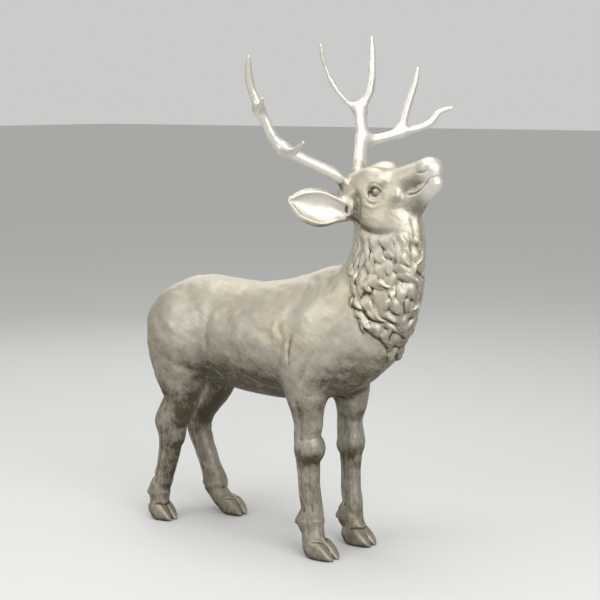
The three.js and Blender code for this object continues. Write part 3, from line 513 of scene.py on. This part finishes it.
def mapped(rot_,sc):
    o=N("ShaderNodeMapping",vector_type="TEXTURE"); L(tc,o.inputs[0]); o.inputs["Rotation"].default_value=rot_; o.inputs["Scale"].default_value=sc; return o.outputs[0]
def noise_(v,scale,detail=2.,rough=.5,dist=0.):
    o=N("ShaderNodeTexNoise"); L(v,o.inputs["Vector"]); o.inputs["Scale"].default_value=scale; o.inputs["Detail"].default_value=detail
    o.inputs["Roughness"].default_value=rough; o.inputs["Distortion"].default_value=dist; return o.outputs["Fac"]
bv=mapped((0,math.radians(24),0),(3.2,1,1)); lv=mapped((0,0,0),(1,1,4.2)); hv=mapped((0,math.radians(-28),0),(2.4,1,1))
fb=noise_(bv,150,3,.6,.6); fl=noise_(lv,170,3,.55,.3); fh=noise_(hv,190,3,.6,.4)
def mixf(f,a,b):
    o=N("ShaderNodeMix",data_type="FLOAT"); L(f,o.inputs[0]); L(a,o.inputs[2]); L(b,o.inputs[3]); return o.outputs[0]
fur=mixf(zone[1],mixf(part[0],fb,fl),fh)
fb2=noise_(bv,60,3,.6,.8); fl2=noise_(lv,75,3,.6,.5); fur2=mixf(part[0],fb2,fl2)
blot=noise_(tc,9,4,.62,.4); blot2=noise_(tc,28,4,.6,.6); grain=noise_(tc,620,3,.6)
# how much dark patina lies on the metal, 0 to 1: patina in hollows and low down, with painted shade added low down and
# on what faces the ground, and taken away where the highlight is painted
painted_underside_shade=ramp(aim[2],.56,.22); up_=ramp(aim[2],.50,.84); mott=noise_(bv,34,4,.62,.5); speck=noise_(tc,210,3,.65,.2)
dn=math_("SUBTRACT",1.,math_("MULTIPLY",up_,.80))
d=math_("MULTIPLY",ramp(tone[0],.50,.90),.45)
d=math_("ADD",d,math_("MULTIPLY",ramp(tone[1],.50,.88),.85))
d=math_("ADD",d,math_("MULTIPLY",ramp(tone[2],.51,.86),.50))
grain_=math_("ADD",math_("MULTIPLY",math_("SUBTRACT",fur2,.5),.62),math_("ADD",math_("MULTIPLY",math_("SUBTRACT",fur,.5),.62),math_("ADD",math_("MULTIPLY",math_("SUBTRACT",blot2,.5),.75),math_("ADD",math_("MULTIPLY",math_("SUBTRACT",speck,.5),.36),math_("MULTIPLY",math_("SUBTRACT",mott,.5),.70)))))
wet=math_("ADD",.34,math_("MULTIPLY",math_("MAXIMUM",painted_underside_shade,part[2]),.6))
d=math_("ADD",d,math_("MULTIPLY",grain_,math_("MULTIPLY",wet,dn)))
d=math_("ADD",d,math_("MULTIPLY",math_("MULTIPLY",math_("SUBTRACT",blot,.5),.62),math_("ADD",.5,math_("MULTIPLY",part[2],.5))))
# painted shade on surfaces facing the ground
d=math_("ADD",d,math_("MULTIPLY",painted_underside_shade,.58))
# darker patina plus painted shade low down and towards the hindquarters
d=math_("ADD",d,math_("MULTIPLY",part[2],.46))
# painted highlight: less dark patina on the antlers, the muzzle front and the ear bowls
d=math_("SUBTRACT",d,math_("MULTIPLY",part[1],.80))
d=math_("SUBTRACT",d,math_("MULTIPLY",ramp(tone[0],.48,.10),.34))
d=math_("SUBTRACT",d,math_("MULTIPLY",ramp(tone[1],.47,.10),.22))
d=math_("ADD",d,.10)
dark=math_("MULTIPLY",d,1.,True)
base=mixc(dark,(.60,.560,.470),(.085,.069,.045))
warm=mixc(ramp(blot,.38,.66),(.97,.985,1.0),(1.0,.965,.90))
base=mixc(1.,base,warm,"MULTIPLY")
# painted highlight: the antlers, the muzzle front and the ear bowls mixed towards a pale silver
base=mixc(math_("MULTIPLY",part[1],.8,True),base,(.74,.72,.675))
p=N("ShaderNodeBsdfPrincipled"); L(base,p.inputs["Base Color"])
met=ramp(dark,.15,1.,1.,.65); L(met,p.inputs["Metallic"])
rg=math_("ADD",ramp(dark,0.,1.,.50,.56),math_("MULTIPLY",math_("SUBTRACT",fur,.5),.16)); L(rg,p.inputs["Roughness"])
hgt=math_("ADD",math_("MULTIPLY",fur,.5),math_("ADD",math_("MULTIPLY",fur2,.7),math_("ADD",math_("MULTIPLY",speck,.25),math_("MULTIPLY",grain,.08))))
calm=math_("SUBTRACT",1.,math_("MULTIPLY",math_("MAXIMUM",math_("MAXIMUM",part[1],math_("MULTIPLY",zone[2],.7)),math_("MULTIPLY",up_,.6)),.85))
hgt=math_("MULTIPLY",hgt,calm)
bp_=N("ShaderNodeBump"); bp_.inputs["Strength"].default_value=.55; bp_.inputs["Distance"].default_value=.0022; L(hgt,bp_.inputs["Height"]); L(bp_.outputs[0],p.inputs["Normal"])
o_=N("ShaderNodeOutputMaterial"); L(p.outputs[0],o_.inputs[0])
out.materials.clear(); out.materials.append(mat)
# ============ studio ============
def plain(name,col,rough):
    m=bpy.data.materials.new(name); m.use_nodes=True; b=m.node_tree.nodes["Principled BSDF"]
    b.inputs["Base Color"].default_value=col+(1.,); b.inputs["Roughness"].default_value=rough; return m
fm=bpy.data.meshes.new("floor"); fm.from_pydata([(-60,-60,0),(60,-60,0),(60,60,0),(-60,60,0)],[],[(0,1,2,3)]); fm.materials.append(plain("floor_pale",(.62,.62,.61),.85))
floor=bpy.data.objects.new("floor",fm); bpy.context.scene.collection.objects.link(floor)
w=bpy.data.worlds.new("studio"); bpy.context.scene.world=w; w.use_nodes=True; wb=w.node_tree.nodes["Background"]
wb.inputs[0].default_value=(1.,.995,.98,1.); wb.inputs[1].default_value=.60
from mathutils import Vector, Matrix
TGT=Vector(((-100+235.2)/1000.,(-105-49.)/1000.,.85))
def softbox(name,pos,size,power,aim=None,col=(1,1,1)):
    l=bpy.data.lights.new(name,"AREA"); l.shape="RECTANGLE"; l.size,l.size_y=size; l.energy=power; l.color=col
    o=bpy.data.objects.new(name,l); o.location=pos; bpy.context.scene.collection.objects.link(o)
    o.rotation_euler=((aim or TGT)-Vector(pos)).to_track_quat("-Z","Y").to_euler(); return o
softbox("key",(3.6,-1.6,3.0),(3.2,3.2),112)
softbox("top",(-.4,-.4,4.6),(4.,3.2),100)
softbox("fill",(-1.4,-4.6,2.6),(3.4,2.6),55)
softbox("rim",(-3.2,2.4,2.8),(2.4,2.4),20)
cam=bpy.data.cameras.new("photo_view"); cam.sensor_width=36.; cam.lens=36.*1420.588/600.
co=bpy.data.objects.new("photo_view",cam); bpy.context.scene.collection.objects.link(co)
az=math.radians(37.); D=4.6
pos=Vector((TGT[0]+D*math.sin(az),TGT[1]-D*math.cos(az),1.5)); co.location=pos
co.rotation_euler=(TGT-pos).to_track_quat("-Z","Y").to_euler(); bpy.context.scene.camera=co
bpy.context.scene.view_settings.view_transform="Standard"
